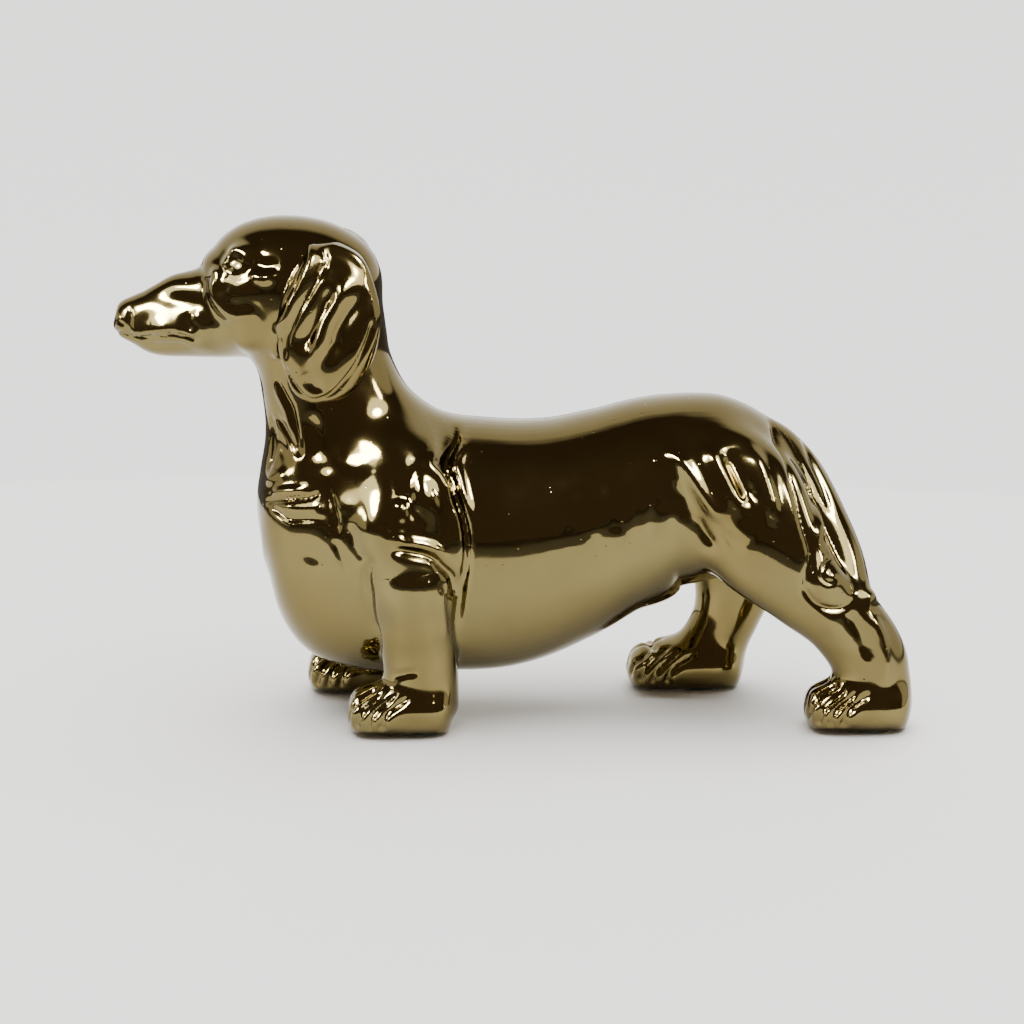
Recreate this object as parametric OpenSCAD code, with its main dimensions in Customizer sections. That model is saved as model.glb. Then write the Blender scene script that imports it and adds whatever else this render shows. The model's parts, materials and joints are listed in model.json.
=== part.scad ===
// Gilded ceramic dachshund figurine, standing.
// It is slip-cast in hollow pieces that are cut open where they meet, luted together with
// slip, fired, glazed and gilded. Ears and tail are pressed solid and luted on last.
// The dog faces -X, its left side is -Y, and its felt pads stand on the plane z = 0.

/* [Figurine] */
// Overall length from nose to rear heel, which everything scales with
length = 236; // [200:4:300]
// Thickness of the cast walls
wall = 4; // [3:0.5:4.5]
// Thickness of the slip in each luted joint
slip = 0.6; // [0.4:0.1:1]

/* [Vent and pads] */
// Radius of the firing vent under the belly
vent_r = 4; // [3:0.5:5]
// Radius of the felt pad under each paw
pad_r = 7; // [5:0.5:8]
// Thickness of the felt pads
pad_t = 0.8; // [0.6:0.1:1.2]

/* [Smoothness] */
// Sides of each cast section
sides = 24; // [16:4:28]
// Rings from one station to the next
steps = 2; // [2:1:3]

/* [Hidden] */

pattern_length = 236;      // the stations below are written for this length
k = length / pattern_length;
far = 200;                 // well past the figurine, for cuts

gold = "goldenrod";
bisque = "antiquewhite";
felt = "saddlebrown";

// ---- Stations ----
// Each row is [x, y, z, half width, reach on the + side, reach on the - side].
// A section stands square to its line. Its + side is up where the line runs along +X,
// towards -X where the line climbs, and towards +X where it runs down.
// A row with no width closes the end.

barrel_line = [
    [-76, 0, 60, 0, 0, 0],
    [-74.5, 0, 60, 11, 11, 12],
    [-69, 0, 59, 20, 22, 26],
    [-58, 0, 57, 26, 29, 37],
    [-40, 0, 55.5, 30, 35, 42.5],
    [-22, 0, 54.5, 31, 39, 42],
    [-4, 0, 54.5, 31, 36, 41],
    [14, 0, 57.5, 30, 33.5, 36.5],
    [30, 0, 62, 28.5, 32, 31],
    [45, 0, 66, 27.5, 31.5, 27.5],
    [58, 0, 65, 26.5, 32, 25.5],
    [70, 0, 62, 23.5, 27, 23],
    [80, 0, 57, 18, 20, 18],
    [88, 0, 53, 0, 0, 0]
];

neck_line = [
    [-38, 0, 44, 0, 0, 0],
    [-40, 0, 54, 22, 22, 22],
    [-43, 0, 66, 22, 29, 22],
    [-47, 0, 80, 21, 28, 23.5],
    [-52, 0, 94, 18.5, 23.5, 19.5],
    [-55, 0, 106, 16.5, 20.5, 17.5],
    [-57, 0, 118, 15.5, 18, 17.5],
    [-58, 0, 130, 13, 15, 14],
    [-59, 0, 138, 0, 0, 0]
];

head_line = [
    [-118, 0, 120, 0, 0, 0],
    [-116, 0, 120, 5, 4.5, 5.5],
    [-110, 0, 120, 7.2, 8.8, 9.5],
    [-98, 0, 121.5, 9.5, 12.3, 12.5],
    [-88, 0, 124, 12, 14, 15.5],
    [-82, 0, 126.5, 15, 18, 17.5],
    [-74, 0, 129, 18, 21.3, 20],
    [-64, 0, 129.5, 19, 22, 20],
    [-54, 0, 128, 17.5, 20, 18],
    [-45, 0, 125, 12, 14, 14],
    [-40, 0, 122.5, 0, 0, 0]
];

ear_line = [
    [-51, -13, 145.5, 0, 0, 0],
    [-51.5, -15.5, 143, 4, 7, 7],
    [-52.5, -18, 137, 5.5, 11.5, 10.5],
    [-54, -20, 127, 5.5, 15.5, 14],
    [-55, -20.5, 117, 5, 15, 14],
    [-56.5, -20.5, 108.5, 4.5, 12, 11.5],
    [-58.5, -20.5, 102, 3.5, 7, 7],
    [-59, -20.5, 99, 0, 0, 0]
];

tail_line = [
    [64, 0, 84, 0, 0, 0],
    [68, 0, 84, 6, 6, 6],
    [76, -1, 81.5, 8, 8, 7],
    [84.5, -6, 73.5, 8, 8, 7],
    [92, -13, 60.5, 7.5, 7.5, 7.5],
    [96.5, -18, 49, 7.5, 7.5, 8],
    [97, -21, 41, 7, 7.5, 8],
    [97, -22, 36, 0, 0, 0]
];

shoulder_line = [
    [-41, -12, 92, 0, 0, 0],
    [-39, -14, 88, 9, 8, 10],
    [-35, -18, 76, 12, 16, 16],
    [-33, -20, 62, 12.5, 17, 17],
    [-31, -20, 50, 11, 14, 14],
    [-30, -18, 42, 0, 0, 0]
];

foreleg_line = [
    [-31, -21.5, 54.5, 0, 0, 0],
    [-31, -22.5, 51.5, 9.5, 11, 10],
    [-30.5, -23.5, 44, 11, 13.5, 13],
    [-29.5, -22.5, 34, 10.5, 12.5, 12.5],
    [-28.5, -21.5, 24, 9.5, 11.5, 11.5],
    [-28, -21.5, 14, 9.5, 11, 11],
    [-29, -21.5, 7, 9, 10.5, 10.5],
    [-29, -21.5, 3, 0, 0, 0]
];

hindleg_left_line = [
    [54, -15, 87, 0, 0, 0],
    [58, -16, 82, 8, 11, 12],
    [66, -19, 70, 11, 18, 18],
    [76, -22, 56, 11, 16.5, 19],
    [86, -23, 43, 10, 12.5, 14],
    [96, -22.5, 33, 9.5, 12.5, 11.5],
    [104, -22.5, 22, 9.5, 12, 11.5],
    [106, -22.5, 12, 9.5, 11, 11.5],
    [105.5, -22.5, 5, 8, 9, 9],
    [105.5, -22.5, 2, 0, 0, 0]
];

hindleg_right_line = [
    [56, 15, 87, 0, 0, 0],
    [58, 16, 82, 8, 11, 12],
    [63, 19, 69, 11, 18, 18],
    [68, 22, 51, 10.5, 17, 16.5],
    [69.5, 22, 36, 9.5, 14, 14],
    [67, 21.5, 23, 9, 10.5, 11],
    [62, 21.5, 12, 9, 10, 10.5],
    [60, 21.5, 6, 8, 9, 9],
    [59, 21.5, 3, 0, 0, 0]
];

// A paw, from toes to heel, about the middle of the ankle
paw_line = [
    [-20, 0, 6, 0, 0, 0],
    [-18, 0, 6, 8, 5, 6],
    [-13, 0, 6.5, 11, 8, 8],
    [-4, 0, 7, 12, 9.5, 8.5],
    [5, 0, 7, 11.5, 9, 8.5],
    [10, 0, 7, 8.5, 7, 8],
    [12.5, 0, 7, 0, 0, 0]
];

// Where each ankle stands on the ground
fore_left_at = [-29, -21.5];
fore_right_at = [-42, 21.5];
hind_left_at = [105.5, -22.5];
hind_right_at = [58.5, 21.5];
stride = fore_right_at[0] - fore_left_at[0];
hind_right_stretch = 1.15; // the far hind paw is flat on the ground and longer

// Flat cuts between castings: a point on the cut, and the tilt about Y of what is past it
neck_cut = [-52, 0, 96];
neck_tilt = -11.5;
hind_left_cut = [83, -22.5, 46];
hind_left_tilt = 138;
hind_right_cut = [69, 22, 30];
hind_right_tilt = 180;
leg_gap = 6;               // half of the body's middle, which the hind legs' cuts leave whole
belly_end = 34;            // they leave whole what is ahead of this too
vent_x = 2;                // the vent is in the lowest part of the belly

// ---- Smooth lofts ----
// Rows past a closed end mirror those before it, so that the end comes out round
function mirrored(row, end) =
    [for (c = [0:5]) c < 3 ? 2 * end[c] - row[c] : -row[c]];
function row_at(line, i) =
    let (last = len(line) - 1)
    i < 0 ? mirrored(line[1], line[0]) :
    i > last ? mirrored(line[last - 1], line[last]) :
    line[i];
// Catmull-Rom curve from b to c
function between(a, b, c, d, t) =
    (2 * b + (c - a) * t + (2 * a - 5 * b + 4 * c - d) * t * t
        + (3 * b - a - 3 * c + d) * t * t * t) / 2;
function smooth_rows(line, first, last) = [
    for (i = [first:last - 1], s = [0:steps - 1])
        between(row_at(line, i - 1), line[i], line[i + 1], row_at(line, i + 2), s / steps),
    line[last]
];
// Direction of a section's + side, square to the line in the plane of x and z
function side_of(rows, i) =
    let (
        a = rows[max(i - 1, 0)],
        b = rows[min(i + 1, len(rows) - 1)],
        along = [b[0] - a[0], b[2] - a[2]] / norm([b[0] - a[0], b[2] - a[2]])
    )
    [-along[1], along[0]];
function ring(row, side, grow) = [
    for (j = [0:sides - 1])
        let (
            angle = 360 * j / sides,
            reach = (row[sin(angle) < 0 ? 5 : 4] * k + grow) * sin(angle)
        )
        [
            row[0] * k + side[0] * reach,
            row[1] * k + (row[3] * k + grow) * cos(angle),
            row[2] * k + side[1] * reach
        ]
];
function centre(row) = k * [row[0], row[1], row[2]];

// A closed skin over the rings of rows, with its two ends at points
module skin(rings, ends) {
    last = (len(rings) - 1) * sides;
    first_end = len(rings) * sides;
    walls = [
        for (i = [0:len(rings) - 2], j = [0:sides - 1])
            let (a = i * sides + j, b = i * sides + (j + 1) % sides)
            each [[a, b + sides, b], [a, a + sides, b + sides]]
    ];
    caps = [
        for (j = [0:sides - 1])
            let (next = (j + 1) % sides)
            each [[first_end, j, next], [first_end + 1, last + next, last + j]]
    ];
    polyhedron([for (r = rings) each r, each ends], [each walls, each caps]);
}
// The outside of a casting, which ends in points
module loft(line, grow = 0) {
    rows = smooth_rows(line, 0, len(line) - 1);
    last = len(rows) - 1;
    rings = [for (i = [1:last - 1]) ring(rows[i], side_of(rows, i), grow)];
    skin(rings, [centre(rows[0]), centre(rows[last])]);
}
// The hollow of a casting, which stops two stations short of each end
module hollow(line) {
    rows = smooth_rows(line, 2, len(line) - 3);
    last = len(rows) - 1;
    rings = [for (i = [0:last]) ring(rows[i], side_of(rows, i), -wall)];
    skin(rings, [centre(rows[0]), centre(rows[last])]);
}
module right_side() {
    mirror([0, 1, 0])
        children();
}
// The right foreleg is the left one mirrored, a stride ahead
module as_right_foreleg() {
    translate([stride * k, 0, 0])
        right_side()
            children();
}
// Joins smooth shapes into one skin
module as_one_skin() {
    resize([0, 0, 0])
        union() children();
}

// ---- Whole shapes, which the castings are cut from ----
module paw(place, grow = 0, stretch = 1) {
    line = [for (r = paw_line) [r[0] * stretch, r[1], r[2], r[3], r[4], r[5]]];
    translate([place[0] * k, place[1] * k, 0])
        loft(line, grow);
}
module hindleg_left_shape(grow = 0) {
    loft(hindleg_left_line, grow);
    paw(hind_left_at, grow);
}
module hindleg_right_shape(grow = 0) {
    loft(hindleg_right_line, grow);
    paw(hind_right_at, grow, hind_right_stretch);
}
// Everything but the forelegs, ears and tail
module body_shape(grow = 0) {
    loft(barrel_line, grow);
    loft(neck_line, grow);
    loft(head_line, grow);
    loft(shoulder_line, grow);
    right_side()
        loft(shoulder_line, grow);
    hindleg_left_shape(grow);
    hindleg_right_shape(grow);
}
module foreleg_shape() {
    loft(foreleg_line);
    paw(fore_left_at);
}
module hollow_shape() {
    hollow(barrel_line);
    hollow(neck_line);
    hollow(head_line);
    hollow(hindleg_left_line);
    hollow(hindleg_right_line);
    hollow(foreleg_line);
    as_right_foreleg()
        hollow(foreleg_line);
}

// ---- Cuts ----
// All that lies more than gap past a cut, on its + side: up for the neck, down for the legs
module past_cut(point, tilt, gap) {
    translate(centre(point))
        rotate([0, tilt, 0])
            translate([-far, -far, gap])
                cube(2 * far);
}
module past_neck(gap) {
    past_cut(neck_cut, neck_tilt, gap);
}
// The hind legs' cuts stop short of the body's middle and of the belly
module past_hind(point, tilt, gap) {
    intersection() {
        past_cut(point, tilt, gap);
        translate([belly_end * k, point[1] > 0 ? leg_gap : -far - leg_gap, -far])
            cube([far, far, 2 * far]);
    }
}
module past_hind_left(gap) {
    past_hind(hind_left_cut, hind_left_tilt, gap);
}
module past_hind_right(gap) {
    past_hind(hind_right_cut, hind_right_tilt, gap);
}
module under_paws() {
    translate([-far, -far, pad_t - far])
        cube([2 * far, 2 * far, far]);
}

// ---- Castings and pressed pieces ----
module torso() {
    color(gold)
        difference() {
            as_one_skin()
                difference() {
                    body_shape();
                    past_neck(-slip / 2);
                    past_hind_left(-slip / 2);
                    past_hind_right(-slip / 2);
                    hollow_shape();
                }
            translate([vent_x * k, 0, 0])
                cylinder(h = 30 * k, r = vent_r, $fn = 48);
        }
}
module head() {
    color(gold)
        as_one_skin()
            difference() {
                intersection() {
                    body_shape();
                    past_neck(slip / 2);
                }
                hollow_shape();
            }
}
// A pressed ear or tail, fitted over the body with room for its slip
module pressed(line) {
    color(gold)
        as_one_skin()
            difference() {
                loft(line);
                body_shape(slip);
            }
}
module ear_left() {
    pressed(ear_line);
}
module ear_right() {
    right_side()
        ear_left();
}
module tail() {
    pressed(tail_line);
}
module foreleg_left() {
    color(gold)
        as_one_skin()
            difference() {
                foreleg_shape();
                body_shape(slip);
                hollow(foreleg_line);
                under_paws();
            }
}
module foreleg_right() {
    as_right_foreleg()
        foreleg_left();
}
module hindleg_left() {
    color(gold)
        as_one_skin()
            difference() {
                intersection() {
                    hindleg_left_shape();
                    past_hind_left(slip / 2);
                }
                hollow(hindleg_left_line);
                under_paws();
            }
}
module hindleg_right() {
    color(gold)
        as_one_skin()
            difference() {
                intersection() {
                    hindleg_right_shape();
                    past_hind_right(slip / 2);
                }
                hollow(hindleg_right_line);
                under_paws();
            }
}

// ---- Slip in the joints ----
// The fired slip between the two faces of each flat cut
module slip_neck() {
    color(bisque)
        as_one_skin()
            difference() {
                intersection() {
                    body_shape();
                    past_neck(-slip / 2);
                }
                past_neck(slip / 2);
                hollow_shape();
            }
}
module slip_hindleg_left() {
    color(bisque)
        as_one_skin()
            difference() {
                intersection() {
                    hindleg_left_shape();
                    past_hind_left(-slip / 2);
                }
                past_hind_left(slip / 2);
                hollow(hindleg_left_line);
            }
}
module slip_hindleg_right() {
    color(bisque)
        as_one_skin()
            difference() {
                intersection() {
                    hindleg_right_shape();
                    past_hind_right(-slip / 2);
                }
                past_hind_right(slip / 2);
                hollow(hindleg_right_line);
            }
}
// The fired slip between the body's surface and a piece that is fitted over it
module fitted_slip() {
    color(bisque)
        as_one_skin()
            difference() {
                intersection() {
                    children();
                    body_shape(slip);
                }
                body_shape();
                hollow_shape();
            }
}
module slip_ear_left() {
    fitted_slip()
        loft(ear_line);
}
module slip_ear_right() {
    right_side()
        slip_ear_left();
}
module slip_tail() {
    fitted_slip()
        loft(tail_line);
}
module slip_foreleg_left() {
    fitted_slip()
        foreleg_shape();
}
module slip_foreleg_right() {
    fitted_slip()
        as_right_foreleg()
            foreleg_shape();
}

// ---- Felt pads ----
module pad(place) {
    color(felt)
        translate([place[0] * k, place[1] * k, 0])
            cylinder(h = pad_t, r = pad_r, $fn = 48);
}
module pad_fore_left() {
    pad(fore_left_at);
}
module pad_fore_right() {
    pad(fore_right_at);
}
module pad_hind_left() {
    pad(hind_left_at);
}
module pad_hind_right() {
    pad(hind_right_at);
}

torso();
head();
ear_left();
ear_right();
tail();
foreleg_left();
foreleg_right();
hindleg_left();
hindleg_right();
slip_neck();
slip_ear_left();
slip_ear_right();
slip_tail();
slip_foreleg_left();
slip_foreleg_right();
slip_hindleg_left();
slip_hindleg_right();
pad_fore_left();
pad_fore_right();
pad_hind_left();
pad_hind_right();
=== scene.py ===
"""A gilded ceramic dachshund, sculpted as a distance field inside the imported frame.

Coordinates are in pattern millimetres: the frame's own axes and origin, at the length that the
figurine was drawn for. The dog faces -X, its left side is -Y, and it stands on z = 0.
"""

import json
import math

import bpy
import numpy as np
import openvdb as vdb
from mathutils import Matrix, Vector
from mathutils.bvhtree import BVHTree

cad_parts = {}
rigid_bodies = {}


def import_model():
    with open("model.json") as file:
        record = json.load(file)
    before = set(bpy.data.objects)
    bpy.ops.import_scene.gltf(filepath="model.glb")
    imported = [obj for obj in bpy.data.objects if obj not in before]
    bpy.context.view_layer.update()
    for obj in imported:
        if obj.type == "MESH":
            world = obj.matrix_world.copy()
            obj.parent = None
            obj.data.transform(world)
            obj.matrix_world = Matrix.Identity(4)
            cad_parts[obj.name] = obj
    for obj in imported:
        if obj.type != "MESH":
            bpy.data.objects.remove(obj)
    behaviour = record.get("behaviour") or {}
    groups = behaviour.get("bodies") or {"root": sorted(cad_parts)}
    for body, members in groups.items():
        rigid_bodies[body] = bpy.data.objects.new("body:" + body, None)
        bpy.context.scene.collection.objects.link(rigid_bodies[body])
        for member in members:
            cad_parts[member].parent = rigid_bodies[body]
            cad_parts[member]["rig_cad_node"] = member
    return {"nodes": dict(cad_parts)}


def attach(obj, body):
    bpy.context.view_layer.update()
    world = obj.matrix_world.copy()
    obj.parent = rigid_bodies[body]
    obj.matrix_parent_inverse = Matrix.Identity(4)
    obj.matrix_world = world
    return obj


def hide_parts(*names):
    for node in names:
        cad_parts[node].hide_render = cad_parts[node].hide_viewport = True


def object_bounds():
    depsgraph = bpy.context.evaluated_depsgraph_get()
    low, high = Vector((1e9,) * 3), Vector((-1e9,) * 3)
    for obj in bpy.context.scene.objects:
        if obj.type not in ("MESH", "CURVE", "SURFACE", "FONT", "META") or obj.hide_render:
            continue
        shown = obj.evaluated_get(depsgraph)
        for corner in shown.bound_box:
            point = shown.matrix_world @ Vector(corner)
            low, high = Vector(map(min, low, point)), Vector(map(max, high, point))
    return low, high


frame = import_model()
cad_low, cad_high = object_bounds()

PATTERN_LENGTH = 236.0
MM = (cad_high.x - cad_low.x) / PATTERN_LENGTH     # one pattern millimetre, in metres


# ---------------------------------------------------------------- rough form
# Each row is x, y, z, half width along y, reach on the + side, reach on the - side.
# The + side is up where a line runs along +X, towards -X where it climbs, and
# towards +X where it runs down. Rows with no width close the ends.

BARREL = [
    (-76, 0, 60, 0, 0, 0),
    (-74.2, 0, 60, 12, 13, 12.4),
    (-68.4, 0, 59.6, 19.6, 24, 26),
    (-57, 0, 58, 25.3, 29.5, 38.6),
    (-40, 0, 55.5, 29, 34, 42.5),
    (-22, 0, 54.5, 30, 36, 41.5),
    (-4, 0, 54.5, 30.5, 35.5, 40.5),
    (14, 0, 57.5, 29.5, 32.8, 36),
    (30, 0, 62, 28, 31, 30.5),
    (45, 0, 66, 26.5, 30.5, 27),
    (58, 0, 65, 25, 31.5, 25),
    (70, 0, 62, 22, 27, 22),
    (80, 0, 57, 17, 20, 18),
    (87, 0, 53, 0, 0, 0),
]
NECK = [
    (-37, 0, 44, 0, 0, 0),
    (-39, 0, 54, 22, 22, 22),
    (-42, 0, 66, 21.5, 28, 24),
    (-46.5, 0, 80, 20.5, 27.5, 24.5),
    (-51.5, 0, 94, 18, 23, 20.5),
    (-55, 0, 106, 16, 20.5, 19),
    (-57, 0, 118, 15, 20, 18.8),
    (-58, 0, 130, 13, 15, 14),
    (-59, 0, 138, 0, 0, 0),
]
HEAD = [
    (-117.6, 0, 121, 0, 0, 0),
    (-116.4, 0, 120.8, 4.4, 4.8, 4.2),
    (-111, 0, 120.4, 6.6, 7.9, 7.4),
    (-106, 0, 120.4, 7.4, 9.9, 10.4),
    (-98, 0, 121.5, 8.8, 12.4, 12.3),
    (-88, 0, 124, 11.2, 12.8, 15.4),
    (-82, 0, 126.5, 14.3, 16.6, 18.4),
    (-74, 0, 129, 17, 20.8, 22.5),
    (-64, 0, 129.5, 18.3, 21.4, 19.5),
    (-54, 0, 128, 17, 19.5, 17.5),
    (-45, 0, 125, 11.5, 13.5, 13.5),
    (-40, 0, 122.5, 0, 0, 0),
]
SHOULDER = [
    (-41, -10, 92, 0, 0, 0),
    (-39, -12, 88, 9, 8, 10),
    (-35, -17, 76, 11.5, 15, 15),
    (-33, -19.5, 62, 12.5, 17, 16),
    (-31, -20, 50, 11, 14, 14),
    (-30, -18, 42, 0, 0, 0),
]
FORELEG = [
    (-31, -21, 55, 0, 0, 0),
    (-31, -22.5, 51.5, 9, 11, 10),
    (-30.5, -23.5, 44, 10.8, 13.3, 12.8),
    (-29.5, -22.5, 34, 10.3, 12.2, 12.4),
    (-28.5, -21.5, 24, 9.5, 11.2, 11.5),
    (-28, -21.5, 14, 9.3, 10.8, 11),
    (-29, -21.5, 7, 9, 10, 10),
    (-29, -21.5, 1, 0, 0, 0),
]
HINDLEG_LEFT = [
    (54, -14, 87, 0, 0, 0),
    (58, -15, 82, 8, 11, 12),
    (66, -18, 70, 11, 17.5, 17.5),
    (76, -21, 56, 11.3, 15.5, 18.5),
    (86, -22.5, 43.5, 10, 12, 13.5),
    (96, -22.5, 33.5, 9, 12, 11.3),
    (104, -22.5, 22, 9, 11.8, 11),
    (106, -22.5, 12, 9.3, 11, 11.3),
    (105.5, -22.5, 5, 8, 9, 9),
    (105.5, -22.5, 0, 0, 0, 0),
]
HINDLEG_RIGHT = [
    (56, 14, 87, 0, 0, 0),
    (58, 15, 82, 8, 11, 12),
    (63, 18, 69, 11, 17.5, 17.5),
    (68, 21, 51, 10.5, 16.5, 16),
    (69.5, 21.5, 36, 9.3, 13.6, 13.6),
    (67, 21.5, 23, 9, 10.5, 10.6),
    (62, 21.5, 12, 9, 10, 10),
    (60, 21.5, 6, 8, 9, 9),
    (59, 21.5, 0, 0, 0, 0),
]
PAW = [
    (-20, 0, 6, 0, 0, 0),
    (-18, 0, 6, 8, 5, 6),
    (-13, 0, 6.5, 10.5, 7.6, 7.5),
    (-4, 0, 7, 11.3, 9, 8),
    (5, 0, 7, 10.8, 8.5, 8),
    (10, 0, 7, 8, 7, 7.5),
    (12.3, 0, 7, 0, 0, 0),
]
EAR = [
    (-51, -13, 145.5, 0, 0, 0),
    (-51.5, -15.5, 143, 4, 7, 7),
    (-52.5, -18, 137, 5.2, 11.5, 10.5),
    (-54, -20, 127, 5.2, 15.3, 14),
    (-55, -20.5, 117, 4.7, 14.8, 14),
    (-56.5, -20.5, 108.5, 4.3, 12, 11.5),
    (-58.5, -20.5, 102, 3.4, 7, 7),
    (-59, -20.5, 99, 0, 0, 0),
]
TAIL = [
    (64, 0, 84, 0, 0, 0),
    (68, 0, 84, 6, 6, 6),
    (76, -1, 81.5, 7.8, 7.6, 7),
    (84.5, -6, 73.5, 7.8, 7.6, 7),
    (92, -13, 60.5, 7.3, 7.1, 7.5),
    (96.5, -18, 49, 7.3, 7.1, 7.8),
    (97, -21, 41, 7, 7.2, 7.8),
    (97, -22, 35.5, 0, 0, 0),
]
FORE_LEFT_AT = (-29, -21.5)
FORE_RIGHT_AT = (-42, 21.5)
HIND_LEFT_AT = (105.5, -22.5)
HIND_RIGHT_AT = (58.5, 21.5)
STRIDE = FORE_RIGHT_AT[0] - FORE_LEFT_AT[0]
PAW_FORWARD = 1.6            # the forepaws reach a little ahead of their legs
FORE_PAW_LEFT_AT = (FORE_LEFT_AT[0] - PAW_FORWARD, FORE_LEFT_AT[1])
FORE_PAW_RIGHT_AT = (FORE_RIGHT_AT[0] - PAW_FORWARD, FORE_RIGHT_AT[1])
HIND_RIGHT_STRETCH = 1.15

# How far each fillet reaches where two forms of the body merge
NECK_FILLET = 16
SHOULDER_FILLET = 9
HEAD_FILLET = 8
HIP_FILLET = 10
ANKLE_FILLET = 6

# The coarse grid that holds the rough form
STEP = 1.0
GRID_LOW = np.array([-126.0, -44.0, -8.0])
GRID_HIGH = np.array([126.0, 44.0, 160.0])
GRID_SHAPE = tuple(((GRID_HIGH - GRID_LOW) / STEP).astype(int) + 1)
BAND = 16.0                  # how far from a surface its distance is known
TINY = 1e-9                  # keeps a division by a length safe


def catmull_rom(a, b, c, d, t):
    return (2 * b + (c - a) * t + (2 * a - 5 * b + 4 * c - d) * t**2
            + (3 * b - a - 3 * c + d) * t**3) / 2


def smooth_rows(rows, steps):
    """The rows with more between them, on a smooth curve that rounds the closed ends."""
    rows = np.array(rows, float)

    def mirrored(row, end):
        return np.concatenate([2 * end[:3] - row[:3], -row[3:]])

    padded = np.vstack([mirrored(rows[1], rows[0]), rows, mirrored(rows[-2], rows[-1])])
    made = [catmull_rom(*padded[i:i + 4], s / steps)
            for i in range(len(rows) - 1) for s in range(steps)]
    return np.array(made + [rows[-1]])


SIDES = 72                   # points round a section
STEPS = 12                   # sections from one row to the next


def loft(rows):
    """Points and triangles of a closed skin over elliptical sections."""
    rows = smooth_rows(rows, STEPS)
    along = np.gradient(rows[:, [0, 2]], axis=0)
    along /= np.linalg.norm(along, axis=1)[:, None]
    turn = np.linspace(0, 2 * math.pi, SIDES, endpoint=False)
    wide = np.cos(turn)
    high = np.sin(turn)
    inner = rows[1:-1]
    reach = np.where(high < 0, inner[:, 5:6], inner[:, 4:5]) * high
    points = np.stack([
        inner[:, 0:1] - along[1:-1, 1:2] * reach,
        inner[:, 1:2] + inner[:, 3:4] * wide,
        inner[:, 2:3] + along[1:-1, 0:1] * reach,
    ], -1).reshape(-1, 3)
    points = np.vstack([points, rows[0, :3], rows[-1, :3]])
    ring = np.arange(SIDES)
    after = (ring + 1) % SIDES
    faces = []
    for i in range(len(inner) - 1):
        a = i * SIDES + ring
        b = i * SIDES + after
        faces += [np.stack([a, b, b + SIDES], -1), np.stack([a, b + SIDES, a + SIDES], -1)]
    last = (len(inner) - 1) * SIDES
    ends = len(inner) * SIDES
    faces.append(np.stack([np.full(SIDES, ends), after, ring], -1))
    faces.append(np.stack([np.full(SIDES, ends + 1), last + ring, last + after], -1))
    return points, np.vstack(faces)


def distance(points, faces):
    """Signed distance to a closed skin, on the coarse grid."""
    grid = vdb.FloatGrid.createLevelSetFromPolygons(
        points.astype(np.float32), triangles=faces.astype(np.uint32),
        transform=vdb.createLinearTransform(voxelSize=STEP), halfWidth=BAND / STEP)
    values = np.empty(GRID_SHAPE, np.float32)
    grid.copyToArray(values, ijk=tuple((GRID_LOW / STEP).astype(int).tolist()))
    return values


def blend(a, b, radius):
    """Union of two distances, filleted over about radius."""
    overlap = np.maximum(radius - np.abs(a - b), 0) / radius
    return np.minimum(a, b) - overlap**3 * radius / 6


def moved(rows, shift, flip=False, stretch=1.0):
    """Rows about an ankle or a stride, as rows in place."""
    side = -1 if flip else 1
    return [(r[0] * stretch + shift[0], r[1] * side + shift[1], *r[2:]) for r in rows]


def leg(limb, paw):
    """Distance to a leg with its paw."""
    return blend(distance(*loft(limb)), distance(*loft(paw)), ANKLE_FILLET)


class Rough:
    """The rough form's distances on the coarse grid: the core, and each piece luted on."""

    def __init__(self):
        core = blend(distance(*loft(BARREL)), distance(*loft(NECK)), NECK_FILLET)
        points, faces = loft(SHOULDER)
        for side in (1, -1):
            shoulder = distance(points * (1, side, 1), faces[:, ::side])
            core = blend(core, shoulder, SHOULDER_FILLET)
        core = blend(core, distance(*loft(HEAD)), HEAD_FILLET)
        core = blend(core, leg(HINDLEG_LEFT, moved(PAW, HIND_LEFT_AT)), HIP_FILLET)
        right_paw = moved(PAW, HIND_RIGHT_AT, stretch=HIND_RIGHT_STRETCH)
        core = blend(core, leg(HINDLEG_RIGHT, right_paw), HIP_FILLET)
        self.core = core
        self.foreleg_left = leg(FORELEG, moved(PAW, FORE_PAW_LEFT_AT))
        self.foreleg_right = leg(moved(FORELEG, (STRIDE, 0), flip=True),
                                 moved(PAW, FORE_PAW_RIGHT_AT))
        self.ear_left = distance(*loft(EAR))
        self.ear_right = self.ear_left[:, ::-1]
        self.tail = distance(*loft(TAIL))


def surface(values, step, level=0.0):
    """Points and quads of the level's surface, from values on a grid of that step."""
    grid = vdb.FloatGrid(BAND)
    grid.copyFromArray(np.ascontiguousarray(values, np.float32))
    points, _, quads = grid.convertToPolygons(isovalue=level)
    return points * step + GRID_LOW, quads


def sample(values, points):
    """The coarse distance at points, linear between the grid's."""
    place = (points - GRID_LOW) / STEP
    whole = np.clip(np.floor(place).astype(int), 0, np.array(values.shape) - 2)
    part = place - whole
    result = 0
    for corner in range(8):
        offset = np.array([corner >> 2 & 1, corner >> 1 & 1, corner & 1])
        weight = np.prod(np.where(offset, part, 1 - part), axis=1)
        i, j, k = (whole + offset).T
        result = result + weight * values[i, j, k]
    return result


def mesh_object(name, points, polygons):
    mesh = bpy.data.meshes.new(name)
    mesh.from_pydata(points * MM, [], polygons)
    mesh.validate()
    piece = bpy.data.objects.new(name, mesh)
    bpy.context.scene.collection.objects.link(piece)
    return piece


# ---------------------------------------------------------------- fine form
# The coarse distances are read through cubic B-splines, which are smooth and have smooth slopes.

FINE = 0.6
BAND_MARGIN = 2.0            # the distances near the band's end aren't used
LARGEST_CORRECTION = 0.3
FILLETS = (("foreleg_left", 3.5), ("foreleg_right", 3.5), ("ear_left", 0.9),
           ("ear_right", 0.9), ("tail", 1.4))


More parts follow.
